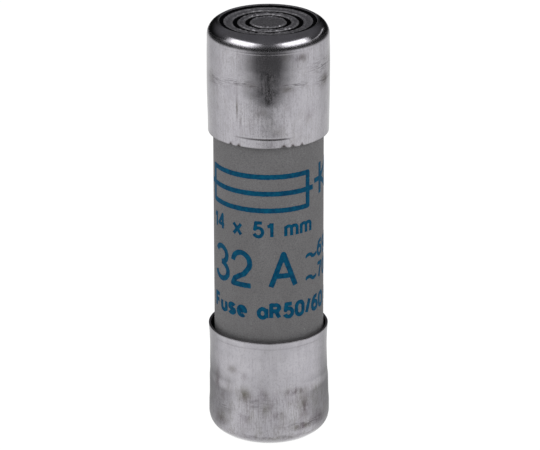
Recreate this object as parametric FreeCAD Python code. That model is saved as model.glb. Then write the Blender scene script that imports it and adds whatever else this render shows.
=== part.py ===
import FreeCAD, Part
import math
import os

from FreeCAD import Vector

# Cylindrical cartridge fuse-link, size 14 x 51, high-speed class, without striker or indicator.
#
# Frame: the origin is the centre of the lower end face, +Z runs up the fuse's axis to the upper
# end face, and the two fuse strips face -Y and +Y. All sizes are in millimetres.
#
# Construction, from outside to inside: a contact cap is pressed over each end; under it an inner
# cap grips the ceramic tube; a fibre washer between the inner cap and the tube's end keeps the
# quartz sand in. Two notched silver strips run through the sand. Their ends pass through slots
# in the washers and inner caps, fold outwards and are soldered down. The sand goes in through a
# hole in the upper inner cap, which a plug closes.

# ---- driving dimensions -------------------------------------------------------------------
FUSE_LENGTH = 51.0
CAP_RADIUS = 7.15            # the contact cap's barrel, 14.3 mm in diameter
CAP_LENGTH = 13.4            # from the end face to the cap's mouth
CAP_WALL = 0.35
CAP_END_WALL = 0.45
CAP_CORNER_RADIUS = 1.7

RING_RADII = (2.3, 3.7, 5.1)   # pressed rings in each end face
RING_WIDTH = 0.5
RING_DEPTH = 0.16

CRIMP_DEPTH = 0.15           # how far the cap is rolled in beyond the inner cap
CRIMP_START = 7.6            # all three measured from the end face
CRIMP_FULL = 9.4
CRIMP_END = 12.2             # from here the mouth opens out again

TUBE_RADIUS = 6.45
TUBE_BORE_RADIUS = 4.7
TUBE_CHAMFER = 0.3

INNER_CAP_WALL = 0.35
INNER_CAP_CORNER_RADIUS = 0.9
INNER_CAP_FACE = 1.1         # its outer face, from the fuse's end face
INNER_CAP_MOUTH = 7.0        # its mouth, from the fuse's end face

WASHER_THICKNESS = 0.6
WASHER_RADIUS = 5.8

STRIP_WIDTH = 3.4
STRIP_THICKNESS = 0.08
STRIP_OFFSET = 2.5           # from the fuse's axis to the strip's middle plane
STRIP_BEND_RADIUS = 0.2      # of the strip's middle plane, where it folds into a tab
STRIP_TAB_REACH = 4.5        # from the axis to the tab's end
NOTCH_ROWS = 5
NOTCH_ROW_PITCH = 8.0
NOTCHES_PER_ROW = 3
NOTCH_BRIDGE = 0.16          # metal left beside each punched hole

SLOT_CLEARANCE = 0.05        # between a strip and the washer's slot
SLOT_END_CLEARANCE = 0.1

SOLDER_RADIUS = 1.1
SOLDER_HEIGHT = 0.32

PLUG_RADIUS = 1.5
PLUG_HEAD_RADIUS = 2.0
PLUG_HEAD_THICKNESS = 0.3

# ---- worked out from them -----------------------------------------------------------------
MIDDLE = FUSE_LENGTH / 2
CAP_BORE_RADIUS = CAP_RADIUS - CAP_WALL
INNER_CAP_BORE_RADIUS = CAP_BORE_RADIUS - INNER_CAP_WALL
WASHER_FACE = INNER_CAP_FACE + INNER_CAP_WALL
TUBE_FACE = WASHER_FACE + WASHER_THICKNESS
TAB_MIDDLE = INNER_CAP_FACE - STRIP_THICKNESS / 2
DIAGONAL = math.sqrt(0.5)

AXIS = Vector(0, 0, 1)
ORIGIN = Vector(0, 0, 0)


class Outline:
    """A closed outline in the plane of two axes, drawn edge by edge."""

    def __init__(self, place, *start):
        self.place = place
        self.first = place(*start)
        self.last = self.first
        self.edges = []

    def line(self, *end):
        end = self.place(*end)
        self.edges.append(Part.LineSegment(self.last, end).toShape())
        self.last = end

    def arc(self, middle, end):
        middle = self.place(*middle)
        end = self.place(*end)
        self.edges.append(Part.Arc(self.last, middle, end).toShape())
        self.last = end

    def face(self):
        if self.last.distanceToPoint(self.first) > 1e-7:
            self.edges.append(Part.LineSegment(self.last, self.first).toShape())
        return Part.Face(Part.Wire(self.edges))


def radial(r, z):
    """A point of a turned profile: r from the axis, z up."""
    return Vector(r, 0, z)


def sideways(y, z):
    """A point of a strip's side view."""
    return Vector(0, y, z)


def spin(outline):
    return outline.face().revolve(ORIGIN, AXIS, 360)


def block(width, y_low, y_high, z_low, z_high):
    """A box centred on X = 0."""
    corner = Vector(-width / 2, y_low, z_low)
    return Part.makeBox(width, y_high - y_low, z_high - z_low, corner)


def turned_over(shape):
    """The same piece at the fuse's other end. Front stays front."""
    copy = shape.copy()
    copy.rotate(Vector(0, 0, MIDDLE), Vector(0, 1, 0), 180)
    return copy


def opposite(shape):
    """The same piece on the other side of the axis."""
    copy = shape.copy()
    copy.rotate(ORIGIN, AXIS, 180)
    return copy


# ---- contact cap --------------------------------------------------------------------------
def contact_cap():
    """The lower contact cap: a drawn cup with pressed rings, a rolled-in waist and an open mouth."""
    outline = Outline(radial, 0, 0)
    half = RING_WIDTH / 2
    for ring in RING_RADII:
        outline.line(ring - half, 0)
        outline.arc((ring, RING_DEPTH), (ring + half, 0))
    corner_centre = CAP_RADIUS - CAP_CORNER_RADIUS
    outline.line(corner_centre, 0)
    outline.arc(
        (corner_centre + CAP_CORNER_RADIUS * DIAGONAL, CAP_CORNER_RADIUS * (1 - DIAGONAL)),
        (CAP_RADIUS, CAP_CORNER_RADIUS),
    )
    outline.line(CAP_RADIUS, CRIMP_START)
    outline.line(CAP_RADIUS - CRIMP_DEPTH, CRIMP_FULL)
    outline.line(CAP_RADIUS - CRIMP_DEPTH, CRIMP_END)
    outline.line(CAP_RADIUS, CAP_LENGTH)
    outline.line(CAP_BORE_RADIUS, CAP_LENGTH)
    outline.line(CAP_BORE_RADIUS - CRIMP_DEPTH, CRIMP_END)
    outline.line(CAP_BORE_RADIUS - CRIMP_DEPTH, CRIMP_FULL)
    outline.line(CAP_BORE_RADIUS, CRIMP_START)
    inner_height = CAP_CORNER_RADIUS
    inner_corner_z = inner_height - CAP_END_WALL
    inner_corner_r = CAP_BORE_RADIUS - inner_corner_z
    outline.line(CAP_BORE_RADIUS, inner_height)
    outline.arc(
        (inner_corner_r + inner_corner_z * DIAGONAL, inner_height - inner_corner_z * DIAGONAL),
        (inner_corner_r, CAP_END_WALL),
    )
    for ring in reversed(RING_RADII):
        outline.line(ring + half, CAP_END_WALL)
        outline.arc((ring, CAP_END_WALL + RING_DEPTH), (ring - half, CAP_END_WALL))
    outline.line(0, CAP_END_WALL)
    return spin(outline)


# ---- inner cap ----------------------------------------------------------------------------
def inner_cap():
    """The lower inner cap: a plain drawn cup that grips the tube, with a slot for each strip."""
    outer_corner = INNER_CAP_CORNER_RADIUS
    inner_corner = INNER_CAP_CORNER_RADIUS - INNER_CAP_WALL
    centre_r = CAP_BORE_RADIUS - outer_corner
    centre_z = INNER_CAP_FACE + outer_corner
    outline = Outline(radial, 0, INNER_CAP_FACE)
    outline.line(centre_r, INNER_CAP_FACE)
    outline.arc(
        (centre_r + outer_corner * DIAGONAL, centre_z - outer_corner * DIAGONAL),
        (CAP_BORE_RADIUS, centre_z),
    )
    outline.line(CAP_BORE_RADIUS, INNER_CAP_MOUTH)
    outline.line(INNER_CAP_BORE_RADIUS, INNER_CAP_MOUTH)
    outline.line(INNER_CAP_BORE_RADIUS, centre_z)
    outline.arc(
        (centre_r + inner_corner * DIAGONAL, centre_z - inner_corner * DIAGONAL),
        (centre_r, WASHER_FACE),
    )
    outline.line(0, WASHER_FACE)
    slot = block(
        STRIP_WIDTH + 2 * SLOT_END_CLEARANCE,
        STRIP_OFFSET - STRIP_THICKNESS / 2 - SLOT_CLEARANCE,
        STRIP_OFFSET + STRIP_BEND_RADIUS + SLOT_CLEARANCE,
        0,
        TUBE_FACE,
    )
    return spin(outline).cut(slot).cut(opposite(slot))


def filling_hole():
    """What is taken out of the upper inner cap and washer, drawn at the lower end."""
    return Part.makeCylinder(PLUG_RADIUS, TUBE_FACE, ORIGIN, AXIS)


def filling_plug():
    """Closes the filling hole from outside, drawn at the lower end."""
    head_start = INNER_CAP_FACE - PLUG_HEAD_THICKNESS
    outline = Outline(radial, 0, head_start)
    outline.line(PLUG_HEAD_RADIUS, head_start)
    outline.line(PLUG_HEAD_RADIUS, INNER_CAP_FACE)
    outline.line(PLUG_RADIUS, INNER_CAP_FACE)
    outline.line(PLUG_RADIUS, TUBE_FACE)
    outline.line(0, TUBE_FACE)
    return spin(outline)


# ---- sealing washer -----------------------------------------------------------------------
def sealing_washer():
    """The lower fibre washer, with a close slot for each strip."""
    disc = Part.makeCylinder(WASHER_RADIUS, WASHER_THICKNESS, Vector(0, 0, WASHER_FACE), AXIS)
    slot = block(
        STRIP_WIDTH + 2 * SLOT_END_CLEARANCE,
        STRIP_OFFSET - STRIP_THICKNESS / 2 - SLOT_CLEARANCE,
        STRIP_OFFSET + STRIP_THICKNESS / 2 + SLOT_CLEARANCE,
        0,
        TUBE_FACE,
    )
    return disc.cut(slot).cut(opposite(slot))


# ---- ceramic tube -------------------------------------------------------------------------
def ceramic_tube():
    top = FUSE_LENGTH - TUBE_FACE
    outline = Outline(radial, TUBE_BORE_RADIUS, TUBE_FACE)
    outline.line(TUBE_RADIUS - TUBE_CHAMFER, TUBE_FACE)
    outline.line(TUBE_RADIUS, TUBE_FACE + TUBE_CHAMFER)
    outline.line(TUBE_RADIUS, top - TUBE_CHAMFER)
    outline.line(TUBE_RADIUS - TUBE_CHAMFER, top)
    outline.line(TUBE_BORE_RADIUS, top)
    return spin(outline)


# ---- fuse strips --------------------------------------------------------------------------
def fuse_strip():
    """The strip on the +Y side: a notched band whose two ends fold outwards into tabs."""
    half = STRIP_THICKNESS / 2
    low = TAB_MIDDLE
    high = FUSE_LENGTH - TAB_MIDDLE
    bend = STRIP_BEND_RADIUS
    bend_y = STRIP_OFFSET + bend
    tight = bend - half
    wide = bend + half

    def on_bend(radius, z, up):
        """The middle of a bend's arc, at a bend whose centre is at height z."""
        return bend_y - radius * DIAGONAL, z + up * radius * DIAGONAL

    outline = Outline(sideways, STRIP_TAB_REACH, low + half)
    outline.line(bend_y, low + half)
    outline.arc(on_bend(tight, low + bend, -1), (STRIP_OFFSET + half, low + bend))
    outline.line(STRIP_OFFSET + half, high - bend)
    outline.arc(on_bend(tight, high - bend, 1), (bend_y, high - half))
    outline.line(STRIP_TAB_REACH, high - half)
    outline.line(STRIP_TAB_REACH, high + half)
    outline.line(bend_y, high + half)
    outline.arc(on_bend(wide, high - bend, 1), (STRIP_OFFSET - half, high - bend))
    outline.line(STRIP_OFFSET - half, low + bend)
    outline.arc(on_bend(wide, low + bend, -1), (bend_y, low - half))
    outline.line(STRIP_TAB_REACH, low - half)
    band = outline.face().extrude(Vector(STRIP_WIDTH, 0, 0))
    band.translate(Vector(-STRIP_WIDTH / 2, 0, 0))
    return band.cut(Part.makeCompound(notch_punches()))


def notch_punches():
    """The punches for the rows of round notches, where the strip melts."""
    diameter = (STRIP_WIDTH - (NOTCHES_PER_ROW + 1) * NOTCH_BRIDGE) / NOTCHES_PER_ROW
    spacing = diameter + NOTCH_BRIDGE
    punches = []
    for row in range(NOTCH_ROWS):
        z = MIDDLE + (row - (NOTCH_ROWS - 1) / 2) * NOTCH_ROW_PITCH
        for column in range(NOTCHES_PER_ROW):
            x = (column - (NOTCHES_PER_ROW - 1) / 2) * spacing
            start = Vector(x, 0, z)
            punches.append(Part.makeCylinder(diameter / 2, 2 * STRIP_OFFSET, start, Vector(0, 1, 0)))
    return punches


# ---- solder joint -------------------------------------------------------------------------
def solder_joint(rear_strip):
    """A low bead of solder over the end of the rear strip's lower tab."""
    ball_radius = (SOLDER_RADIUS ** 2 + SOLDER_HEIGHT ** 2) / (2 * SOLDER_HEIGHT)
    centre = Vector(0, STRIP_TAB_REACH, INNER_CAP_FACE - SOLDER_HEIGHT + ball_radius)
    ball = Part.makeSphere(ball_radius, centre)
    below_inner_cap = Part.makeCylinder(CAP_RADIUS, INNER_CAP_FACE, ORIGIN, AXIS)
    return ball.common(below_inner_cap).cut(rear_strip)


# ---- quartz sand --------------------------------------------------------------------------
def quartz_sand(strips):
    """The sand, which fills the tube around the strips and through their notches."""
    height = FUSE_LENGTH - 2 * TUBE_FACE
    fill = Part.makeCylinder(TUBE_BORE_RADIUS, height, Vector(0, 0, TUBE_FACE), AXIS)
    for strip in strips:
        fill = fill.cut(strip)
    return fill


def save(name, shape):
    solids = len(shape.Solids)
    print(name, solids, "solid,", round(shape.Volume, 2), "mm3, valid:", shape.isValid())
    shape.exportStep(os.path.join("parts", name + ".step"))


def main():
    os.makedirs("parts", exist_ok=True)
    rear_strip = fuse_strip()
    front_strip = opposite(rear_strip)
    rear_joint = solder_joint(rear_strip)
    lower_end = {
        "contact_cap": contact_cap(),
        "inner_cap": inner_cap(),
        "sealing_washer": sealing_washer(),
        "rear_solder_joint": rear_joint,
        "front_solder_joint": opposite(rear_joint),
    }
    with_filling_hole = ("inner_cap", "sealing_washer")
    for name, shape in lower_end.items():
        save("lower_" + name, shape)
        if name in with_filling_hole:
            shape = shape.cut(filling_hole())
        save("upper_" + name, turned_over(shape))
    save("filling_plug", turned_over(filling_plug()))
    save("ceramic_tube", ceramic_tube())
    save("rear_fuse_strip", rear_strip)
    save("front_fuse_strip", front_strip)
    save("quartz_sand", quartz_sand((rear_strip, front_strip)))


main()
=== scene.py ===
import math

import bpy
import numpy as np
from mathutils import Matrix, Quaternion, Vector, noise


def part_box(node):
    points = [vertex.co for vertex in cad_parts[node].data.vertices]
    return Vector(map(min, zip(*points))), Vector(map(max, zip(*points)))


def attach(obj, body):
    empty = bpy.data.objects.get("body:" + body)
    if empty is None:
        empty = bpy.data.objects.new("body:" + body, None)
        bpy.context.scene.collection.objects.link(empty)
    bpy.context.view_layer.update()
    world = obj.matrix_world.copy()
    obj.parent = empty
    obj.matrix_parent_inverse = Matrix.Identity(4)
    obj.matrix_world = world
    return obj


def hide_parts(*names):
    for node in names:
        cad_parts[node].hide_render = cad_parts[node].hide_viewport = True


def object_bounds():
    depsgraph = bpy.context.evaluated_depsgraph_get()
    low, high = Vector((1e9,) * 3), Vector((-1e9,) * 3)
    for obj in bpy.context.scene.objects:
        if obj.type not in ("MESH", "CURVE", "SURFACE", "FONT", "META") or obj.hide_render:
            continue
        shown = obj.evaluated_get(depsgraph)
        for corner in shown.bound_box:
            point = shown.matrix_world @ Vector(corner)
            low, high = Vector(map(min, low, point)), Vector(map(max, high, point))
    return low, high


# A cylindrical cartridge fuse. Its two contact caps and its ceramic tube are turned here as fine
# meshes in place of the plain CAD ones, and the printing is laid on the tube as thin ink. The
# inner pieces stay as the CAD has them, with better materials.
#
# Angles round the fuse start at the front, -Y, and grow towards +X. Shapes are worked out in
# millimetres and written in metres.

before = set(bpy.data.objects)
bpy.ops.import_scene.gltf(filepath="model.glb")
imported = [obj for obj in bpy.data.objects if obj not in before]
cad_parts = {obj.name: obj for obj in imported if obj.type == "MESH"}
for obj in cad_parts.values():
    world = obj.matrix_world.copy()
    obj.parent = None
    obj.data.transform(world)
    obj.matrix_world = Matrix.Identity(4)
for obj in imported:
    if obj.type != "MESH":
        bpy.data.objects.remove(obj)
cad_low, cad_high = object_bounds()

MM = 0.001
BODY = "root"


# ---- sizes read from the frame -------------------------------------------------------------
def size_mm(node):
    """(outer radius, lowest z, highest z) of a node turned about Z, in mm."""
    low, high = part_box(node)
    return high.x / MM, low.z / MM, high.z / MM


CAP_RADIUS, LOWER_END, LOWER_MOUTH = size_mm("lower_contact_cap")
UPPER_END = size_mm("upper_contact_cap")[2]
TUBE_RADIUS, TUBE_LOW, TUBE_HIGH = size_mm("ceramic_tube")
BORE_RADIUS = size_mm("quartz_sand")[0]
CAP_BORE_RADIUS = size_mm("lower_inner_cap")[0]
CAP_LENGTH = LOWER_MOUTH - LOWER_END
CAP_WALL = CAP_RADIUS - CAP_BORE_RADIUS

# ---- contact cap shape ---------------------------------------------------------------------
# Each barrel's outline is a row of (height above the end face, radius), smooth in between.
UPPER_BARREL = ((1.75, 7.09), (4.3, 7.148), (6.9, 7.148), (13.4, 7.06))
LOWER_BARREL = ((2.15, 7.148), (3.3, 7.148), (4.6, 7.085), (6.4, 7.07), (7.8, 6.975),
                (10.8, 6.945), (11.9, 6.975), (13.4, 7.065))
UPPER_CORNER_RADIUS = 1.7
LOWER_CORNER_RADIUS = 2.1
LOWER_MOUTH_SHIFT = -0.075      # the lower cap's mouth sits this far off the axis, along X
MOUTH_WALL = 0.28
MOUTH_EDGE_RADIUS = 0.08
CREST_DROP = 0.04               # the crest round the end face, below the CAD's end plane
CREST_SLOPE = 0.5               # width of the slope from the crest down to the lands
FACE_DROP = 0.37                # the lands between the rings
RINGS = (2.4, 3.82, 5.42)       # radii of the pressed rings in the end face
RING_HALF_WIDTH = 0.46
RING_DEPTH = 0.22
LIPS = [ring + side * RING_HALF_WIDTH for ring in RINGS for side in (-1, 1)]
LIP_HEIGHT = 0.05               # of the metal pushed up beside each ring
LIP_HALF_WIDTH = 0.18
SHOULDER_LINE = 1.98            # height of a fine ridge where the corner ends
SHOULDER_LINE_HALF_WIDTH = 0.14
FOOT_LINE = 1.75                # height of a fine hollow in the same place
FOOT_LINE_HALF_WIDTH = 0.3
CREASE_HALF_WIDTH = 0.11
CREASE_DEPTH = 0.022
DENT_DEPTH = 0.011
PIT_DEPTH = 0.02
ROUGH_LIP_HALF_WIDTH = 0.2
FIT_GAP = 0.01                  # between touching pieces, so that their faces stay apart

# Where a part of the cap begins and ends softly: heights above the end face, or radii.
FACE_HEIGHT_FADE = (0.5, 0.7)
FACE_RADIUS_FADE = (5.55, 5.9)
CORNER_RADIUS_FADE = (5.5, 6.0)
CORNER_HEIGHT_FADE = (1.2, 2.2)
BARREL_FADE = (2.0, 4.0)
MOUTH_SHIFT_FADE = (4.0, 10.0)

TUBE_CHAMFER = 0.3
TUBE_UNEVENNESS = 0.004

CAP_SEGMENTS = 272              # round the axis
TUBE_SEGMENTS = 256
FACE_ROWS = 130                 # along the cap's section
CORNER_ROWS = 40
CLOSE_ROWS = 16                 # just beyond the corner, where the fine lines are
CLOSE_ROWS_LENGTH = 0.6
BARREL_ROWS = 110
EDGE_ROWS = 4
INSIDE_ROWS = 40
TUBE_ROWS = 160


def smooth_step(x, start, end):
    """0 before start, 1 after end, and smooth in between."""
    t = np.clip((x - start) / (end - start), 0, 1)
    return t * t * (3 - 2 * t)


def bump(x, centre, half_width):
    """A rounded hill 1 high, down to 0 at half_width from its centre."""
    t = np.clip(np.abs(x - centre) / half_width, 0, 1)
    return 0.5 + 0.5 * np.cos(math.pi * t)


def arc_points(centre, radius, start, end, count):
    """Points of an arc, without its first one. Angles in degrees from outward, r, to up, h."""
    turns = np.radians(np.linspace(start, end, count + 1)[1:])
    return [(centre[0] + radius * math.cos(t), centre[1] + radius * math.sin(t)) for t in turns]


def outline(points, height):
    """The radius at a height, on a row of (height, radius)."""
    heights, radii = np.array(points).T
    i = int(np.clip(np.searchsorted(heights, height) - 1, 0, len(heights) - 2))
    step = smooth_step(height, heights[i], heights[i + 1])
    return float(radii[i] + (radii[i + 1] - radii[i]) * step)


def pressed_rings(r):
    """How far the pressed rings go below the end face, at a distance from the axis."""
    grooves = sum(bump(r, ring, RING_HALF_WIDTH) for ring in RINGS)
    lips = sum(bump(r, lip, LIP_HALF_WIDTH) for lip in LIPS)
    return RING_DEPTH * grooves - LIP_HEIGHT * lips


def cap_profile(corner_radius, barrel):
    """The contact cap's section as (radius, height above its end face), from axis to axis."""
    # the end face with its rings, and the corner
    flat = barrel[0][1] - corner_radius
    corner_height = corner_radius + CREST_DROP
    across = np.linspace(0, flat, FACE_ROWS)
    crest = smooth_step(across, flat - CREST_SLOPE, flat)
    points = list(zip(across, FACE_DROP - (FACE_DROP - CREST_DROP) * crest))
    points += arc_points((flat, corner_height), corner_radius, -90, 0, CORNER_ROWS)
    end = np.array(points)
    end[:, 1] += pressed_rings(end[:, 0])
    points = list(zip(end[:, 0], np.maximum(end[:, 1], CREST_DROP / 2)))

    # the barrel and the mouth
    edge = MOUTH_EDGE_RADIUS
    close_end = corner_height + CLOSE_ROWS_LENGTH
    heights = np.concatenate([np.linspace(corner_height, close_end, CLOSE_ROWS)[1:],
                              np.linspace(close_end, CAP_LENGTH - edge, BARREL_ROWS)[1:]])
    points += [(outline(barrel, h), h) for h in heights]
    mouth = points[-1][0]
    points += arc_points((mouth - edge, CAP_LENGTH - edge), edge, 0, 90, EDGE_ROWS)
    inner_edge = mouth - MOUTH_WALL + edge
    points += [(inner_edge, CAP_LENGTH)]
    points += arc_points((inner_edge, CAP_LENGTH - edge), edge, 90, 180, EDGE_ROWS)

    # the inside, back to the axis
    bore = CAP_BORE_RADIUS + FIT_GAP
    inside = np.linspace(CAP_LENGTH - edge, corner_height, INSIDE_ROWS)[1:]
    points += [(min(outline(barrel, h) - MOUTH_WALL, bore), h) for h in inside]
    inner_corner = corner_radius - CAP_WALL
    points += arc_points((bore - inner_corner, corner_height), inner_corner, 0, -90, 10)
    inner_face = points[-1][1] + FACE_DROP
    points += [(r, inner_face) for r in np.linspace(bore - inner_corner, 0, 8)[1:]]
    return np.array(points)


def tube_profile():
    """The ceramic tube's section, a closed ring, with small chamfers at its ends."""
    inner = BORE_RADIUS + FIT_GAP
    low = TUBE_LOW + FIT_GAP
    high = TUBE_HIGH - FIT_GAP
    heights = np.linspace(low + TUBE_CHAMFER, high - TUBE_CHAMFER, TUBE_ROWS)
    points = [(inner, low), (TUBE_RADIUS - TUBE_CHAMFER, low)]
    points += [(TUBE_RADIUS, h) for h in heights]
    points += [(TUBE_RADIUS - TUBE_CHAMFER, high), (inner, high)]
    points += [(inner, h) for h in np.linspace(high, low, 20)[1:-1]]
    return np.array(points)


# ---- turned meshes -------------------------------------------------------------------------
class Turned:
    """A mesh being turned about Z: a grid of profile points by angles, in mm."""

    def __init__(self, profile, segments):
        angles = np.linspace(-math.pi, math.pi, segments, endpoint=False)
        self.angle, self.height = np.meshgrid(angles, profile[:, 1])
        self.degrees = np.degrees(self.angle)
        self.radius = np.repeat(profile[:, :1], segments, axis=1)
        self.closed = profile[0, 0] > 0
        self.marks = {}             # values for the material, by name
        self.shift = 0.0            # of each point off the axis, along X

    def points(self):
        x = self.radius * np.sin(self.angle) + self.shift
        y = -self.radius * np.cos(self.angle)
        return np.stack([x, y, self.height], axis=-1)

    def grain(self, size, seed):
        """Smooth noise from -1 to 1 at every point, with bumps of about that size."""
        shift = Vector((seed, 2 * seed, 3 * seed))
        flat = self.points().reshape(-1, 3) / size
        values = [noise.noise(Vector(p) + shift) for p in flat]
        return np.array(values).reshape(self.radius.shape)

    def build(self, name, upside_down_from=None):
        """Makes the Blender object. upside_down_from is the z that height 0 stands for."""
        rows, segments = self.radius.shape
        points = self.points()
        if upside_down_from is not None:
            points[..., 2] = upside_down_from - points[..., 2]
        index = np.arange(rows * segments).reshape(rows, segments)
        if not self.closed:
            index[0] = index[0, 0]
            index[-1] = index[-1, 0]
        below = index if self.closed else index[:-1]
        above = np.roll(index, -1, axis=0) if self.closed else index[1:]
        corners = [below, np.roll(below, -1, axis=1), np.roll(above, -1, axis=1), above]
        if upside_down_from is not None:
            corners.reverse()
        quads = np.stack(corners, axis=-1).reshape(-1, 4)
        faces = [tuple(dict.fromkeys(quad)) for quad in quads.tolist()]
        return make_mesh(name, points.reshape(-1, 3), faces, self.marks)


def make_mesh(name, points_mm, faces, marks=None):
    """A smooth-shaded object from points in mm; marks are named values, one for each point."""
    used = np.unique(np.concatenate([np.array(face) for face in faces]))
    place = np.zeros(len(points_mm), int)
    place[used] = np.arange(len(used))
    mesh = bpy.data.meshes.new(name)
    kept = (np.asarray(points_mm)[used] * MM).tolist()
    mesh.from_pydata(kept, [], [tuple(int(place[i]) for i in face) for face in faces])
    mesh.polygons.foreach_set("use_smooth", [True] * len(mesh.polygons))
    for key, values in (marks or {}).items():
        attribute = mesh.attributes.new(key, "FLOAT", "POINT")
        attribute.data.foreach_set("value", values.reshape(-1)[used].astype(np.float32))
    mesh.update()
    piece = bpy.data.objects.new(name, mesh)
    bpy.context.scene.collection.objects.link(piece)
    return piece


# ---- contact cap wear ----------------------------------------------------------------------
# Angles are in degrees, and heights in mm above the cap's own end face. A nick is (angle, width,
# depth), a stain or a scuff is (angle, height, half width, half height, strength), the crease is
# (height, start, end, strength), and worn is (height, strength) of the mottling below that
# height.
UPPER_WEAR = {
    "nicks": [
        (-38, 1.4, 0.16), (-29, 1.6, 0.1), (14.5, 2.2, 0.2), (23.3, 1.4, 0.17),
        (33, 1.3, 0.15), (117, 2, 0.15), (-140, 1.5, 0.12),
    ],
    "stains": [
        (32, 2.7, 6, 0.5, 0.8), (-30.5, 8.8, 0.7, 1.2, 1.0), (-27, 10.4, 0.9, 0.8, 0.8),
        (66, 6.1, 7, 0.8, 0.9), (78, 5.0, 8, 1.6, 0.6), (-66, 6.2, 8, 0.7, 0.5),
        (18, 6.3, 6, 0.35, 0.7), (-16, 5.8, 7, 0.3, 0.5), (17, 2.4, 8, 0.4, 0.5),
        (8, 11.4, 6, 0.7, 0.4), (-8, 9.0, 5, 0.6, 0.35), (40, 10.0, 5, 0.9, 0.3),
        (150, 5.0, 9, 2.0, 0.6), (-120, 8.0, 6, 2.5, 0.5),
    ],
    "scuffs": [
        (-60, 6.1, 18, 0.6, 0.6), (62, 4.4, 20, 0.8, 0.9), (66, 6.2, 14, 0.7, 1.0),
        (-25, 5.6, 26, 0.35, 0.8), (22, 5.9, 16, 0.35, 0.9), (130, 7.0, 20, 1.0, 0.9),
        (-150, 4.0, 24, 0.8, 0.8),
    ],
    "crease": (12.2, -38, 26, 0.8),
    "worn": (16, 0.45),
}
LOWER_WEAR = {
    "nicks": [
        (-128, 3.0, 0.1), (160, 2.0, 0.14),
    ],
    "stains": [
        (-60, 7.5, 5, 1.5, 0.8), (-38, 9.5, 5, 0.5, 0.6), (-24, 8.9, 3, 0.6, 0.4),
        (-42, 7.0, 5, 1.0, 0.4), (-24, 6.5, 7, 0.9, 1.0), (-6, 6.6, 6, 0.9, 0.6),
        (-4, 5.0, 6, 1.2, 0.5), (28, 6.9, 13, 0.5, 0.9), (54, 6.6, 9, 0.5, 0.5),
        (36, 4.9, 7, 1.4, 1.0), (31, 6.0, 10, 0.9, 0.6), (52, 5.0, 7, 1.4, 0.4),
        (-52, 2.8, 9, 0.9, 0.8), (-20, 3.6, 6, 0.8, 0.5), (8, 4.2, 5, 0.5, 0.6),
        (34, 2.4, 13, 0.35, 1.0), (54, 2.8, 12, 0.7, 0.8), (0, 1.1, 70, 0.3, 0.35),
        (170, 5.0, 16, 2.0, 0.8), (-120, 4.0, 10, 2.2, 0.8), (110, 6.0, 8, 1.6, 0.7),
    ],
    "scuffs": [
        (-10, 5.6, 14, 0.9, 0.6), (40, 2.6, 22, 0.5, 0.9), (0, 1.3, 60, 0.25, 0.5),
        (-50, 4.5, 12, 0.8, 0.5), (140, 3.0, 20, 0.8, 0.8),
    ],
    "crease": (12.6, -66, 62, 0.25),
    "worn": (7.4, 1.0),
}


# ---- contact caps --------------------------------------------------------------------------
def dent_barrel(cap, seed):
    """Broad dents, and the faint facets that rolling leaves."""
    on_side = smooth_step(cap.height, *BARREL_FADE) * (cap.radius > 6)
    dents = cap.grain(5.0, seed) + 0.5 * cap.grain(2.2, seed + 1)
    facets = 0.25 * np.sin(9 * cap.angle + 2 * cap.grain(6.0, seed + 2))
    dents = dents + 0.3 * cap.grain(1.1, seed + 8)
    cap.radius -= on_side * DENT_DEPTH * (0.7 - dents - facets).clip(0, 2.5)


def roughen_face(cap, seed, on_end):
    """Small pits over the pressed face, deeper on the lips beside the rings.

    Gives how much of a lip each point is on.
    """
    pits = cap.grain(0.22, seed + 3) + cap.grain(0.5, seed + 4)
    lips = np.max([bump(cap.radius, lip, ROUGH_LIP_HALF_WIDTH) for lip in LIPS], axis=0)
    rough = cap.height + on_end * PIT_DEPTH * np.clip(pits, -0.8, 1) * (1 + 3 * lips)
    cap.height = np.where(on_end > 0, np.maximum(rough, CREST_DROP / 4), cap.height)
    return lips


def crease_barrel(cap, seed, height, start, end, strength):
    """A slightly wavering line rolled in near the mouth, fading out at both ends.

    Gives how much of the line each point is on.
    """
    along = (smooth_step(cap.degrees, start, start + 14)
             * (1 - smooth_step(cap.degrees, end - 12, end)))
    wavering = cap.height + 0.05 * cap.grain(3.0, seed + 5)
    line = strength * bump(wavering, height, CREASE_HALF_WIDTH) * along * (cap.radius > 6.8)
    cap.radius -= CREASE_DEPTH * line
    return line


def wear_mouth(cap, seed, nicks):
    """Makes the mouth's edge ragged and takes the nicks out of it.

    Gives how far each point sank, and how much of a nick it is on.
    """
    near_mouth = smooth_step(cap.height, CAP_LENGTH - 1.3, CAP_LENGTH - 0.1)
    ragged = 0.05 * cap.grain(1.6, seed + 6) + 0.02 * cap.grain(0.5, seed + 7)
    drop = near_mouth * np.clip(ragged, 0, None)
    bitten = np.zeros_like(drop)
    at_edge = smooth_step(cap.height, CAP_LENGTH - 0.5, CAP_LENGTH)
    for where, width, depth in nicks:
        bite = np.exp(-(((cap.degrees - where) / width) ** 2))
        drop += near_mouth ** 3 * depth * bite
        bitten = np.maximum(bitten, bite * at_edge)
    cap.height -= drop
    return drop, bitten


def patches(cap, rows):
    """The strongest at each point of some soft-edged patches."""
    strongest = np.zeros_like(cap.height)
    for where, height, half_width, half_height, strength in rows:
        across = (cap.degrees - where) / half_width
        up = (cap.height - height) / half_height
        strongest = np.maximum(strongest, strength * np.exp(-(across ** 2) - up ** 2))
    return strongest


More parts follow.
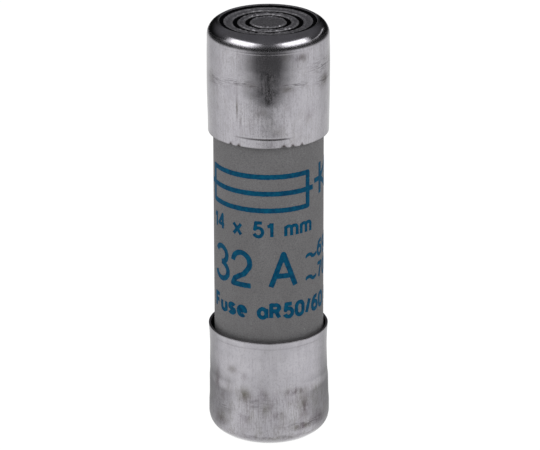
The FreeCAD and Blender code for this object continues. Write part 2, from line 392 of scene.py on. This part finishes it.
def contact_cap(name, node, seed, corner_radius, barrel, wear, shoulder_ridge=0.0,
                foot_hollow=0.0, mouth_shift=0.0, turned_from=None):
    """A contact cap with the unevenness of a thin drawn and rolled cup.

    shoulder_ridge and foot_hollow are how far the fine lines by the corner stand out and go in;
    turned_from is the upper end's z, for the cap that hangs from it.
    """
    cap = Turned(cap_profile(corner_radius, barrel), CAP_SEGMENTS)
    on_outside = cap.radius > CAP_BORE_RADIUS + 0.1
    on_end = ((1 - smooth_step(cap.height, *FACE_HEIGHT_FADE))
              * (1 - smooth_step(cap.radius, *FACE_RADIUS_FADE)))

    dent_barrel(cap, seed)
    lips = roughen_face(cap, seed, on_end)
    crease = crease_barrel(cap, seed, *wear["crease"])
    foot = bump(cap.height, FOOT_LINE, FOOT_LINE_HALF_WIDTH)
    shoulder = bump(cap.height, SHOULDER_LINE, SHOULDER_LINE_HALF_WIDTH)
    cap.radius += on_outside * (shoulder_ridge * shoulder - foot_hollow * foot)
    sunk, bitten = wear_mouth(cap, seed, wear["nicks"])

    # what the material is told about each point
    # the rings' grooves, where the material paints shade
    groove_shade = np.max([bump(cap.radius, ring, RING_HALF_WIDTH) for ring in RINGS], axis=0)
    by_corner = (smooth_step(cap.radius, *CORNER_RADIUS_FADE)
                 * (1 - smooth_step(cap.height, *CORNER_HEIGHT_FADE)))
    worn_height, worn_strength = wear["worn"]
    uneven = cap.height + 1.3 * cap.grain(2.6, seed + 9) + 0.5 * cap.grain(0.9, seed + 10)
    mottled = 1 - smooth_step(uneven, worn_height - 2.2, worn_height + 0.8)
    cap.marks = {
        "tarnish": patches(cap, wear["stains"]),
        "scuffed": patches(cap, wear["scuffs"]),
        "bitten": bitten,
        "groove_shade": groove_shade * on_end,
        "lip": np.clip(lips * on_end * (0.6 + 1.6 * cap.grain(0.35, seed + 11)), 0, 1),
        "corner": on_outside * by_corner,
        "end": on_end,
        # the crease line, which the material paints darker as shade
        "crease": crease,
        # the mouth's edge, which the material paints darker as shade
        "rim": smooth_step(cap.height + sunk, CAP_LENGTH - 0.14, CAP_LENGTH - 0.04),
        "worn": worn_strength * (0.25 + 0.75 * mottled),
    }
    cap.shift = mouth_shift * smooth_step(cap.height, *MOUTH_SHIFT_FADE)
    piece = cap.build(name, turned_from)
    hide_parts(node)
    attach(piece, BODY)
    return piece


# ---- printing ------------------------------------------------------------------------------
def curve(x, y, rx, ry, start, end):
    """Points along part of an ellipse, angles in degrees."""
    steps = max(3, round(abs(end - start) / 12))
    turns = np.radians(np.linspace(start, end, steps + 1))
    return [(x + rx * math.cos(t), y + ry * math.sin(t)) for t in turns]


def turned_about(strokes, x, y):
    """The strokes turned half a turn about a point."""
    return [[(2 * x - a, 2 * y - b) for a, b in stroke] for stroke in strokes]


SIX = [
    curve(0.29, 0.3, 0.29, 0.3, 0, 360),
    curve(0.42, 0.3, 0.42, 0.7, 180, 72),
]

# Each sign is (width, strokes). Capitals and digits are 1 high, the other letters 0.7.
SIGNS = {
    "0": (0.58, [curve(0.29, 0.66, 0.29, 0.34, 0, 180) + curve(0.29, 0.34, 0.29, 0.34, 180, 360)
                 + [(0.58, 0.66)]]),
    "1": (0.3, [[(0.3, 0.0), (0.3, 1.0)], [(0.0, 0.74), (0.16, 0.78), (0.28, 0.96)]]),
    "2": (0.58, [curve(0.29, 0.69, 0.28, 0.31, 175, -25)
                 + [(0.4, 0.36), (0.08, 0.17), (0.0, 0.0), (0.6, 0.0)]]),
    "3": (0.58, [curve(0.28, 0.76, 0.25, 0.24, 160, -90),
                 curve(0.28, 0.26, 0.3, 0.26, 90, -165)]),
    "4": (0.62, [[(0.47, 0.0), (0.47, 1.0), (0.0, 0.3), (0.64, 0.3)]]),
    "5": (0.58, [[(0.54, 1.0), (0.12, 1.0), (0.05, 0.52)]
                 + curve(0.28, 0.32, 0.3, 0.32, 125, -160)]),
    "6": (0.58, SIX),
    "7": (0.58, [[(0.0, 1.0), (0.58, 1.0), (0.34, 0.52), (0.22, 0.0)]]),
    "9": (0.58, turned_about(SIX, 0.29, 0.5)),
    "A": (0.74, [[(0.0, 0.0), (0.37, 1.0), (0.74, 0.0)], [(0.14, 0.33), (0.6, 0.33)]]),
    "F": (0.54, [[(0.0, 0.0), (0.0, 1.0), (0.54, 1.0)], [(0.0, 0.53), (0.48, 0.53)]]),
    "H": (0.62, [[(0.0, 0.0), (0.0, 1.0)], [(0.62, 0.0), (0.62, 1.0)],
                 [(0.0, 0.53), (0.62, 0.53)]]),
    "R": (0.62, [[(0.0, 0.0), (0.0, 1.0), (0.32, 1.0)] + curve(0.32, 0.76, 0.26, 0.24, 90, -90)
                 + [(0.0, 0.52)], [(0.34, 0.52), (0.6, 0.0)]]),
    "V": (0.7, [[(0.0, 1.0), (0.35, 0.0), (0.7, 1.0)]]),
    "a": (0.56, [curve(0.28, 0.35, 0.28, 0.35, 0, 360), [(0.56, 0.7), (0.56, 0.0)]]),
    "e": (0.58, [[(0.0, 0.37), (0.58, 0.37)] + curve(0.29, 0.35, 0.29, 0.35, 4, 310)]),
    "m": (0.84, [[(0.0, 0.0), (0.0, 0.7)],
                 curve(0.21, 0.5, 0.21, 0.2, 180, 0) + [(0.42, 0.0)],
                 curve(0.63, 0.5, 0.21, 0.2, 180, 0) + [(0.84, 0.0)]]),
    "s": (0.5, [curve(0.25, 0.53, 0.23, 0.18, 20, 270) + curve(0.25, 0.18, 0.25, 0.18, 90, -160)]),
    "u": (0.52, [[(0.0, 0.7)] + curve(0.26, 0.24, 0.26, 0.24, 180, 360),
                 [(0.52, 0.7), (0.52, 0.0)]]),
    "x": (0.6, [[(0.0, 0.0), (0.6, 0.74)], [(0.0, 0.74), (0.6, 0.0)]]),
    "z": (0.46, [[(0.0, 0.7), (0.44, 0.7), (0.0, 0.0), (0.46, 0.0)]]),
    "~": (0.92, [curve(0.23, 0.26, 0.23, 0.12, 200, 10) + curve(0.69, 0.3, 0.23, 0.12, 190, 380)]),
    "/": (0.3, [[(0.0, 0.0), (0.3, 1.0)]]),
    " ": (0.3, []),
}


def written(text, start, base, height, gap):
    """The strokes of a line of text: start and base in mm on the unrolled tube."""
    strokes = []
    for sign in text:
        width, shape = SIGNS[sign]
        strokes += [[(start + x * height, base + y * height) for x, y in stroke]
                    for stroke in shape]
        start += (width + gap) * height
    return strokes


def edge_distance(points, strokes, width):
    """Distance from each point to the edge of the strokes, below 0 inside. Open ends are flat."""
    best = np.full(len(points), np.inf)
    for stroke in strokes:
        line = np.array(stroke)
        distance = np.full(len(points), np.inf)
        passed = np.zeros(len(points))      # the stroke's length up to the place nearest a point
        total = 0.0
        for a, b in zip(line, line[1:]):
            length = max(np.hypot(*(b - a)), 1e-9)
            t = np.clip((points - a) @ (b - a) / length ** 2, 0, 1)
            here = np.hypot(*(points - a - t[:, None] * (b - a)).T)
            closer = here < distance
            distance[closer] = here[closer]
            passed[closer] = total + t[closer] * length
            total += length
        distance -= width / 2
        if np.hypot(*(line[0] - line[-1])) > 1e-6:
            for end, before, gone in ((line[0], line[1], passed),
                                      (line[-1], line[-2], total - passed)):
                beyond = (points - end) @ (end - before) / np.hypot(*(end - before))
                cut = gone < width / 2
                distance[cut] = np.maximum(distance, beyond)[cut]
        best = np.minimum(best, distance)
    return best


INK_CELL = 0.04
INK_TOP = 0.012                 # above the tube's wall
INK_BOTTOM = -0.02
INK_WAVER = 0.03                # how far the edge strays from the stroke's
INK_WAVER_SIZE = 0.25


def printed(name, strokes, width, seed, material):
    """Ink laid round the tube as a thin closed skin, with the slightly uneven edge of a print."""
    ends = np.array([point for stroke in strokes for point in stroke])
    low, high = ends.min(0) - width, ends.max(0) + width
    across = np.arange(low[0], high[0], INK_CELL)
    up = np.arange(low[1], high[1], INK_CELL)
    grid = np.stack(np.meshgrid(across, up), axis=-1).reshape(-1, 2)
    distance = edge_distance(grid, strokes, width)
    near = np.abs(distance) < 2 * INK_CELL
    distance[near] += [
        INK_WAVER * noise.noise(Vector((u / INK_WAVER_SIZE, z / INK_WAVER_SIZE, seed)))
        for u, z in grid[near]]
    inside = distance < 0
    index = np.arange(len(grid)).reshape(len(up), len(across))
    quads = np.stack([index[:-1, :-1], index[:-1, 1:], index[1:, 1:], index[1:, :-1]], axis=-1)
    quads = quads.reshape(-1, 4)
    quads = quads[inside[quads].any(axis=1)]
    # the outer points of the skin are pulled in to the edge along the distance's slope
    slope_up, slope_across = np.gradient(distance.reshape(index.shape), INK_CELL)
    slope = np.stack([slope_across, slope_up], axis=-1).reshape(-1, 2)
    slope /= np.maximum(np.hypot(*slope.T), 0.5)[:, None]
    pull = np.clip(distance, 0, 0.9 * INK_CELL)
    grid = grid - pull[:, None] * slope

    def wrapped(offset):
        turn = grid[:, 0] / TUBE_RADIUS
        r = TUBE_RADIUS + offset
        return np.stack([r * np.sin(turn), -r * np.cos(turn), grid[:, 1]], axis=-1)

    count = len(grid)
    faces = quads.tolist()
    edges = {(a, b) for face in faces for a, b in zip(face, face[1:] + face[:1])}
    rim = sorted((a, b) for a, b in edges if (b, a) not in edges)
    walls = [[b, a, a + count, b + count] for a, b in rim]
    under = [[i + count for i in reversed(face)] for face in faces]
    points = np.concatenate([wrapped(INK_TOP), wrapped(INK_BOTTOM)])
    piece = make_mesh(name, points, faces + walls + under)
    piece.data.materials.append(material)
    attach(piece, BODY)
    return piece


# ---- materials -----------------------------------------------------------------------------
class Surface:
    """A material made by nodes round one Principled shader. Sizes are in mm."""

    def __init__(self, name, metallic=0.0, specular=0.5):
        self.material = bpy.data.materials.new(name)
        self.material.use_nodes = True
        self.tree = self.material.node_tree
        self.shader = self.tree.nodes["Principled BSDF"]
        self.shader.inputs["Metallic"].default_value = metallic
        self.shader.inputs["Specular IOR Level"].default_value = specular
        self.place = self.node("ShaderNodeTexCoord").outputs["Object"]
        self.normal = None

    def node(self, kind, inputs=None, **settings):
        node = self.tree.nodes.new(kind)
        for key, value in settings.items():
            setattr(node, key, value)
        for key, value in (inputs or {}).items():
            self.put(node.inputs[key], value)
        return node

    def put(self, socket, value):
        if isinstance(value, bpy.types.NodeSocket):
            self.tree.links.new(value, socket)
        else:
            socket.default_value = value

    def noise(self, size, stretch=(1, 1, 1), detail=2.0, roughness=0.5):
        """Noise with features of that size; stretch makes them longer along X, Y or Z."""
        scale = [1 / (MM * size * s) for s in stretch]
        moved = self.node("ShaderNodeMapping", {"Vector": self.place, "Scale": scale})
        inputs = {"Vector": moved.outputs[0], "Scale": 1.0, "Detail": detail,
                  "Roughness": roughness}
        return self.node("ShaderNodeTexNoise", inputs).outputs["Fac"]

    def between(self, value, low, high, to_low=0.0, to_high=1.0):
        """The value's stretch from low to high, spread over to_low to to_high and held there."""
        inputs = {"Value": value, "From Min": low, "From Max": high,
                  "To Min": to_low, "To Max": to_high}
        return self.node("ShaderNodeMapRange", inputs, clamp=True).outputs["Result"]

    def smooth(self, value, low, high, to_low, to_high):
        """As between, with a soft start and end."""
        inputs = {"Value": value, "From Min": low, "From Max": high,
                  "To Min": to_low, "To Max": to_high}
        node = self.node("ShaderNodeMapRange", inputs, interpolation_type="SMOOTHSTEP")
        return node.outputs["Result"]

    def maths(self, operation, a, b):
        node = self.node("ShaderNodeMath", operation=operation)
        self.put(node.inputs[0], a)
        self.put(node.inputs[1], b)
        return node.outputs[0]

    def mark(self, name):
        return self.node("ShaderNodeAttribute", attribute_name=name).outputs["Fac"]

    def mix(self, share, a, b):
        """Colour a turning into colour b by share."""
        node = self.node("ShaderNodeMix", data_type="RGBA")
        self.put(node.inputs[0], share)
        self.put(node.inputs[6], a if isinstance(a, bpy.types.NodeSocket) else (*a, 1))
        self.put(node.inputs[7], b if isinstance(b, bpy.types.NodeSocket) else (*b, 1))
        return node.outputs[2]

    def raise_by(self, height, depth):
        """Adds a bump of that depth, in mm, where height goes from 0 to 1."""
        inputs = {"Height": height, "Distance": depth * MM, "Strength": 1.0}
        if self.normal is not None:
            inputs["Normal"] = self.normal
        self.normal = self.node("ShaderNodeBump", inputs).outputs["Normal"]

    def finish(self, colour, roughness, glow=0.0, glow_colour=None):
        self.put(self.shader.inputs["Base Color"], colour)
        self.shader.inputs["Emission Strength"].default_value = glow
        if glow:
            self.put(self.shader.inputs["Emission Color"], glow_colour or colour)
        self.put(self.shader.inputs["Roughness"], roughness)
        if self.normal is not None:
            self.put(self.shader.inputs["Normal"], self.normal)
        return self.material


def tin_plate():
    """Dull tin plate: fine upright draw lines, a stippled skin, grey-brown tarnish.

    The marks that contact_cap puts on the mesh say where the stains, scuffs, rings, worn parts
    and edges are. The grooves of the rings are painted near-black and dull, as painted shade.
    """
    s = Surface("tin_plate", specular=0.0)
    end = s.mark("end")
    worn = s.mark("worn")
    rim = s.mark("rim")
    # where the rings' grooves are painted near-black, as shade
    groove_shade = s.between(s.mark("groove_shade"), 0.1, 0.45)

    # patterns over the whole cap
    lines = s.noise(0.16, stretch=(1, 1, 22), detail=3)
    broad_lines = s.noise(0.7, stretch=(1, 1, 9), detail=2)
    clouds = s.noise(2.6, detail=4, roughness=0.6)
    stipple = s.noise(0.2, stretch=(1, 1, 1.25), detail=3, roughness=0.65)
    coarse = s.noise(0.2, detail=3)
    tint = s.between(s.noise(1.7, stretch=(1, 1, 1.4), detail=3), 0.38, 0.62)

    # patterns inside the marked areas
    blotch = s.noise(0.6, stretch=(1, 1, 2.6), detail=4, roughness=0.7)
    scrapes = s.noise(0.13, stretch=(9, 9, 1), detail=3, roughness=0.6)
    fleck = s.noise(0.25, stretch=(1, 1, 2.4), detail=4, roughness=0.7)
    cloudy = s.noise(1.3, stretch=(1, 1, 1.3), detail=5, roughness=0.7)
    stains = s.maths("MULTIPLY", s.mark("tarnish"), s.between(blotch, 0.27, 0.54))
    scuffs = s.maths("MULTIPLY", s.mark("scuffed"), s.between(scrapes, 0.48, 0.6))
    flecks = s.maths("MULTIPLY", worn, s.between(fleck, 0.5, 0.66))
    soiled = s.maths("MULTIPLY", worn, s.between(cloudy, 0.5, 0.68))
    streaks = s.maths("MULTIPLY", worn, s.between(lines, 0.5, 0.66))

    # the barrel's colour, from the clean skin to what lies on it
    skin = s.mix(s.between(clouds, 0.3, 0.7), (0.42, 0.41, 0.44), (0.49, 0.478, 0.508))
    skin = s.mix(s.between(broad_lines, 0.45, 0.75, 0.0, 0.25), skin, (0.33, 0.32, 0.345))
    skin = s.mix(s.between(stipple, 0.5, 0.75, 0.0, 0.6), skin, (0.3, 0.29, 0.315))
    worn_tone = s.mix(tint, (0.22, 0.195, 0.215), (0.21, 0.2, 0.18))
    stain_tone = s.mix(tint, (0.135, 0.112, 0.125), (0.13, 0.12, 0.098))
    for share, amount, tone in ((flecks, 0.4, worn_tone), (soiled, 0.45, worn_tone),
                                (streaks, 0.4, worn_tone), (stains, 0.9, stain_tone),
                                (scuffs, 0.85, (0.1, 0.09, 0.1))):
        skin = s.mix(s.maths("MULTIPLY", share, amount), skin, tone)

    # the end face, then over both: painted shade in the rings' grooves, the lips, painted shade
    # along the crease and round the mouth's edge, and the nicks
    face = s.mix(s.between(coarse, 0.35, 0.7), (0.28, 0.273, 0.29), (0.57, 0.56, 0.585))
    colour = s.mix(end, skin, face)
    for share, tone in ((groove_shade, (0.003, 0.003, 0.0035)),
                        (s.mark("lip"), (0.58, 0.57, 0.595)),
                        # painted shade along the rolled-in crease
                        (s.maths("MULTIPLY", s.mark("crease"), 0.9), (0.05, 0.04, 0.04)),
                        # painted shade round the mouth's edge, where the cap meets the tube
                        (s.maths("MULTIPLY", rim, 0.6), (0.16, 0.15, 0.155)),
                        (s.mark("bitten"), (0.03, 0.014, 0.011))):
        colour = s.mix(share, colour, tone)

    roughness = s.between(clouds, 0.3, 0.7, 0.09, 0.14)
    for share, amount in ((s.between(lines, 0.4, 0.7), 0.05), (s.between(stipple, 0.5, 0.7), 0.05),
                          (stains, 0.2), (flecks, 0.12), (scuffs, 0.15), (rim, 0.3),
                          (s.mark("corner"), 0.11), (s.maths("SUBTRACT", end, groove_shade), 0.28)):
        roughness = s.maths("ADD", roughness, s.maths("MULTIPLY", share, amount))
    # the grooves' painted shade is dull and not metallic
    s.put(s.shader.inputs["Metallic"], s.between(groove_shade, 0.0, 1.0, 1.0, 0.05))
    s.raise_by(lines, 0.0025)
    s.raise_by(stipple, 0.0015)
    s.raise_by(s.maths("MULTIPLY", coarse, end), 0.03)
    return s.finish(colour, roughness)


def grey_ceramic():
    """Unglazed grey ceramic: a dull, fine-grained body with small dark and light specks."""
    s = Surface("grey_ceramic", specular=0.5)
    clouds = s.noise(3.5, stretch=(1, 1, 1.6), detail=3)
    grain = s.noise(0.14, detail=3, roughness=0.65)
    specks = s.between(s.noise(0.32, detail=2), 0.7, 0.78)
    pale = s.between(s.noise(0.27, detail=2), 0.69, 0.77)
    colour = s.mix(s.between(clouds, 0.3, 0.7), (0.132, 0.13, 0.133), (0.162, 0.16, 0.164))
    colour = s.mix(s.between(grain, 0.4, 0.62, 0.0, 0.75), colour, (0.085, 0.082, 0.084))
    colour = s.mix(s.maths("MULTIPLY", specks, 0.5), colour, (0.06, 0.057, 0.054))
    colour = s.mix(s.maths("MULTIPLY", pale, 0.4), colour, (0.28, 0.28, 0.28))
    s.raise_by(grain, 0.006)
    s.raise_by(clouds, 0.01)
    return s.finish(colour, s.between(grain, 0.3, 0.7, 0.55, 0.75))


def teal_ink():
    """Teal-blue printing ink, a little thin and uneven where the pad left less of it."""
    s = Surface("teal_ink", specular=0.03)
    patchy = s.noise(0.45, detail=3, roughness=0.6)
    pores = s.between(s.noise(0.11, detail=2), 0.66, 0.76)
    colour = s.mix(s.between(patchy, 0.3, 0.7), (0.0005, 0.035, 0.085), (0.0015, 0.082, 0.155))
    colour = s.mix(s.maths("MULTIPLY", pores, 0.4), colour, (0.07, 0.115, 0.145))
    s.raise_by(s.noise(0.14, detail=2), 0.003)
    return s.finish(colour, s.between(patchy, 0.3, 0.7, 0.42, 0.58))


def plain_metal(name, dark, light, roughness, grain_size, stretch=(1, 1, 1), depth=0.004):
    """A metal of the inner pieces, with its rolling or drawing marks."""
    s = Surface(name, metallic=1.0)
    marks = s.noise(grain_size, stretch=stretch, detail=3)
    clouds = s.noise(1.8, detail=3)
    colour = s.mix(s.between(clouds, 0.3, 0.7), dark, light)
    s.raise_by(marks, depth)
    return s.finish(colour, s.between(marks, 0.3, 0.7, roughness - 0.06, roughness + 0.1))


def fibre():
    """Red-brown pressed fibre with a short criss-cross of threads."""
    s = Surface("red_fibre", specular=0.3)
    threads = s.noise(0.12, stretch=(5, 1, 1), detail=3)
    crossing = s.noise(0.12, stretch=(1, 5, 1), detail=3)
    both = s.maths("MAXIMUM", threads, crossing)
    colour = s.mix(s.between(both, 0.4, 0.75), (0.14, 0.035, 0.02), (0.26, 0.085, 0.045))
    s.raise_by(both, 0.02)
    return s.finish(colour, s.between(both, 0.3, 0.7, 0.7, 0.85))


def sand():
    """Packed quartz sand: pale rounded grains with darker joints and a few warm ones."""
    s = Surface("packed_sand", specular=0.5)
    cells = s.node("ShaderNodeTexVoronoi", {"Vector": s.place, "Scale": 1 / (0.3 * MM)})
    edge = s.between(cells.outputs["Distance"], 0.1, 0.7)
    tone = s.between(s.noise(0.5, detail=2), 0.35, 0.65)
    colour = s.mix(tone, (0.62, 0.56, 0.46), (0.82, 0.79, 0.72))
    colour = s.mix(edge, colour, (0.3, 0.26, 0.2))
    s.raise_by(s.maths("SUBTRACT", 1.0, edge), 0.08)
    return s.finish(colour, 0.6)


# ---- inner pieces: the CAD's own shapes ----------------------------------------------------
def finish_inner_pieces():
    brass = plain_metal("drawn_brass", (0.6, 0.42, 0.17), (0.78, 0.58, 0.27), 0.3, 0.2, (1, 1, 12))
    silver = plain_metal("rolled_silver", (0.8, 0.79, 0.76), (0.92, 0.91, 0.88), 0.24, 0.15,
                         (1, 1, 25))
    tin = plain_metal("solder_tin", (0.52, 0.52, 0.53), (0.68, 0.68, 0.7), 0.3, 0.3, depth=0.012)
    red_fibre = fibre()
    packed = sand()
    finishes = {"inner_cap": brass, "plug": brass, "strip": silver, "solder": tin,
                "washer": red_fibre, "sand": packed}
    for name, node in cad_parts.items():
        for word, material in finishes.items():
            if word in name:
                node.data.materials.clear()
                node.data.materials.append(material)


# ---- the pieces ----------------------------------------------------------------------------
def make_caps():
    plate = tin_plate()
    upper = contact_cap("upper_contact_cap_skin", "upper_contact_cap", seed=11,
                        corner_radius=UPPER_CORNER_RADIUS, barrel=UPPER_BARREL, wear=UPPER_WEAR,
                        shoulder_ridge=0.006, turned_from=UPPER_END)
    lower = contact_cap("lower_contact_cap_skin", "lower_contact_cap", seed=37,
                        corner_radius=LOWER_CORNER_RADIUS, barrel=LOWER_BARREL, wear=LOWER_WEAR,
                        foot_hollow=0.02, mouth_shift=LOWER_MOUTH_SHIFT)
    for cap in (upper, lower):
        cap.data.materials.append(plate)


def make_tube():
    tube = Turned(tube_profile(), TUBE_SEGMENTS)
    outside = tube.radius > TUBE_RADIUS - 0.01
    tube.radius += outside * TUBE_UNEVENNESS * (tube.grain(4.0, 5) - 1)
    piece = tube.build("ceramic_tube_skin")
    piece.data.materials.append(grey_ceramic())
    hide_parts("ceramic_tube")
    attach(piece, BODY)


def fuse_sign(left, right, middle, half_height, leads):
    """The drawing sign for a fuse: a box with a line through it."""
    low, high = middle - half_height, middle + half_height
    box = [(left, low), (right, low), (right, high), (left, high), (left, low)]
    return [box, [(end, middle) for end in leads]]


def diode_sign(tip, base, middle, bar_half, base_half, leads):
    """The drawing sign for a diode: a triangle with a bar across its tip."""
    return [
        [(leads[0], middle), (tip, middle)],
        [(tip, middle - bar_half), (tip, middle + bar_half)],
        [(tip, middle), (base, middle - base_half), (base, middle + base_half), (tip, middle)],
        [(base, middle), (leads[1], middle)],
    ]


# Places are in mm on the unrolled tube: across from the front, and up from the lower end face.
FUSE_SIGN = fuse_sign(left=-8.15, right=5.0, middle=31.86, half_height=2.07, leads=(-9.5, 5.9))
DIODE_SIGN = diode_sign(tip=7.5, base=9.9, middle=32.5, bar_half=1.9, base_half=1.6,
                        leads=(6.2, 11.2))

# Each group of text is (stroke width, rows), and each row is (text, start, base, height, gap),
# with the gap between two signs as a share of the height.
TEXTS = {
    "print_size": (0.4, [("14 x 51 mm", -8.2, 26.56, 1.72, 0.33)]),
    "print_rating": (0.63, [("32", -7.7, 20.3, 4.02, 0.2), ("A", 0.25, 20.3, 4.02, 0.2)]),
    "print_voltages": (0.42, [("~690 V", 4.9, 22.95, 1.72, 0.3),
                              ("~700 V", 4.9, 20.15, 1.72, 0.3)]),
    "print_kind": (0.48, [("Fuse", -8.0, 16.42, 1.6, 0.36), ("aR", -1.2, 16.42, 1.6, 0.36),
                          ("50/60 Hz", 1.9, 16.42, 1.6, 0.34)]),
}


def make_printing():
    ink = teal_ink()
    prints = {"print_fuse_sign": (0.6, FUSE_SIGN), "print_diode_sign": (0.58, DIODE_SIGN)}
    for name, (width, rows) in TEXTS.items():
        prints[name] = (width, [stroke for row in rows for stroke in written(*row)])
    for seed, (name, (width, strokes)) in enumerate(prints.items(), start=1):
        printed(name, strokes, width, seed, ink)


# ---- studio --------------------------------------------------------------------------------
CAMERA_DISTANCE = 0.4423
CAMERA_ELEVATION = 21.21
CAMERA_AIM = 0.00006            # above the fuse's middle
CAMERA_ROLL = -0.14
CAMERA_SHIFT = 0.0024
LENS = 251.0
SENSOR = 36.0

FLOOR_HALF = 4.0
FLOOR_DROP = 0.00002            # of the floor that is seen, below the fuse
MIRROR_FLOOR_DROP = 0.00001
FLOOR_GLOW = 3.75

# Each lamp is (angle round the fuse, angle above the floor, (width, height), power), in metres
# and watts. Both soft boxes have a wider, dimmer lamp in the same place, for a soft edge.
LAMP_DISTANCE = 0.6
LAMPS = {
    "left_soft_box": (-57, 36.0, (0.46, 0.27), 1.15),
    "left_soft_box_edge": (-57, 36.0, (0.68, 0.38), 0.8),
    "right_soft_box": (58, 36.5, (0.46, 0.26), 1.1),
    "right_soft_box_edge": (58, 36.5, (0.68, 0.37), 0.75),
    "right_edge_box": (120, 21.0, (0.5, 0.035), 0.05),
}


def make_camera():
    middle = (cad_low.z + cad_high.z) / 2 + CAMERA_AIM
    turn = math.radians(CAMERA_ELEVATION)
    place = Vector((0, -math.cos(turn), math.sin(turn))) * CAMERA_DISTANCE
    data = bpy.data.cameras.new("camera")
    data.lens = LENS
    data.sensor_width = SENSOR
    data.shift_x = CAMERA_SHIFT
    camera = bpy.data.objects.new("camera", data)
    camera.location = place + Vector((0, 0, middle))
    roll = Quaternion((0, 0, 1), math.radians(CAMERA_ROLL))
    camera.rotation_euler = ((-place).to_track_quat("-Z", "Y") @ roll).to_euler()
    bpy.context.scene.collection.objects.link(camera)
    bpy.context.scene.camera = camera


def floor_plane(name, drop):
    """A wide square, a little below the fuse."""
    z = cad_low.z - drop
    half = FLOOR_HALF
    mesh = bpy.data.meshes.new(name)
    corners = [(-half, -half, z), (half, -half, z), (half, half, z), (-half, half, z)]
    mesh.from_pydata(corners, [], [(0, 1, 2, 3)])
    floor = bpy.data.objects.new(name, mesh)
    bpy.context.scene.collection.objects.link(floor)
    return floor


def make_floor():
    """The pale floor that is seen. It glows a little, and the shiny pieces don't mirror it."""
    floor = floor_plane("floor", FLOOR_DROP)
    floor.visible_glossy = False
    s = Surface("lit_floor", specular=0.0)
    colour = s.mix(s.noise(40, detail=2), (0.245, 0.245, 0.245), (0.255, 0.255, 0.255))
    floor.data.materials.append(s.finish(colour, 0.9, glow=FLOOR_GLOW))


def make_mirror_floor():
    """A glowing sheet only the shiny pieces see, painted with light and shade: light nearby, dark
    further off and in front.
    """
    floor = floor_plane("mirror_floor", MIRROR_FLOOR_DROP)
    floor.visible_camera = False
    floor.visible_diffuse = False
    floor.visible_shadow = False
    floor.visible_transmission = False
    s = Surface("mirror_floor", specular=0.0)
    rad = math.radians

    # where a point of the floor is: how far from the fuse's axis, in metres, and how far round
    # from the front, to either side
    at = s.node("ShaderNodeSeparateXYZ", {"Vector": s.place}).outputs
    across = s.maths("ABSOLUTE", at["X"], 0.0)
    turn = s.maths("ARCTAN2", across, s.maths("MULTIPLY", at["Y"], -1.0))
    away = s.node("ShaderNodeVectorMath", {0: s.place}, operation="LENGTH").outputs["Value"]

    # a painted dark reflection in front, a slot that widens away from the fuse, lit at both ends
    narrowed = s.smooth(away, 0.109, 0.139, 0.05, 1.0)
    slot = s.smooth(s.maths("DIVIDE", turn, narrowed), rad(8), rad(70), 0.01, 1.0)
    nearby = s.smooth(away, 0.107, 0.121, 1.0, 0.0)
    distant = s.smooth(away, 0.143, 0.151, 0.0, 0.12)
    light = s.maths("MAXIMUM", slot, s.maths("MAXIMUM", nearby, distant))

    # painted shade: less light far off, in front and behind, and a painted shadow at the fuse's
    # foot
    far_end = s.smooth(away, 0.2, 0.4, 1.0, 0.03)
    front = s.smooth(turn, 0.0, rad(52), 0.88, 1.04)
    back = s.smooth(turn, rad(80), rad(130), 1.0, 0.0)
    shaded = s.smooth(away, 0.02, 0.085, 0.58, 0.72)
    back = s.maths("ADD", back, s.maths("MULTIPLY", s.maths("SUBTRACT", 1.0, back), shaded))
    beside = s.smooth(turn, rad(50), rad(85), 0.97, 0.55)
    foot = s.maths("MAXIMUM", s.smooth(away, 0.01, 0.03, 0.0, 1.0), beside)
    for part in (far_end, front, back, foot):
        light = s.maths("MULTIPLY", light, part)
    floor.data.materials.append(s.finish((0, 0, 0, 1), 1.0, glow=1.0, glow_colour=light))


def soft_box(name, turn, height, size, power):
    """A rectangular lamp facing the fuse, at an angle round it and an angle above the floor."""
    middle = Vector((0, 0, (cad_low.z + cad_high.z) / 2))
    turn, height = math.radians(turn), math.radians(height)
    way = Vector((math.cos(height) * math.sin(turn), -math.cos(height) * math.cos(turn),
                  math.sin(height)))
    data = bpy.data.lights.new(name, "AREA")
    data.shape = "RECTANGLE"
    data.size, data.size_y = size
    data.energy = power
    lamp = bpy.data.objects.new(name, data)
    lamp.location = middle + way * LAMP_DISTANCE
    lamp.rotation_euler = way.to_track_quat("Z", "Y").to_euler()
    bpy.context.scene.collection.objects.link(lamp)


def make_room():
    """A dim room for reflections and light, brighter overhead, with a pale far wall."""
    world = bpy.data.worlds.new("room")
    world.use_nodes = True
    tree = world.node_tree
    dim = tree.nodes["Background"]
    dim.inputs["Color"].default_value = (1, 1, 1.05, 1)
    way = tree.nodes.new("ShaderNodeTexCoord").outputs["Generated"]
    split = tree.nodes.new("ShaderNodeSeparateXYZ")
    tree.links.new(way, split.inputs[0])
    rise = tree.nodes.new("ShaderNodeMapRange")
    rise.interpolation_type = "SMOOTHSTEP"
    for key, value in (("From Min", 0.15), ("From Max", 0.7), ("To Min", 0.006), ("To Max", 0.14)):
        rise.inputs[key].default_value = value
    tree.links.new(split.outputs["Z"], rise.inputs["Value"])
    tree.links.new(rise.outputs["Result"], dim.inputs["Strength"])
    pale = tree.nodes.new("ShaderNodeBackground")
    pale.inputs["Color"].default_value = (0.9, 0.9, 0.9, 1)
    seen = tree.nodes.new("ShaderNodeLightPath").outputs["Is Camera Ray"]
    both = tree.nodes.new("ShaderNodeMixShader")
    tree.links.new(seen, both.inputs[0])
    tree.links.new(dim.outputs[0], both.inputs[1])
    tree.links.new(pale.outputs[0], both.inputs[2])
    tree.links.new(both.outputs[0], tree.nodes["World Output"].inputs["Surface"])
    bpy.context.scene.world = world


def make_studio():
    make_camera()
    make_floor()
    make_mirror_floor()
    for name, (turn, height, size, power) in LAMPS.items():
        soft_box(name, turn, height, size, power)
    make_room()
    bpy.context.scene.view_settings.view_transform = "Standard"


make_studio()
make_caps()
make_tube()
make_printing()
finish_inner_pieces()
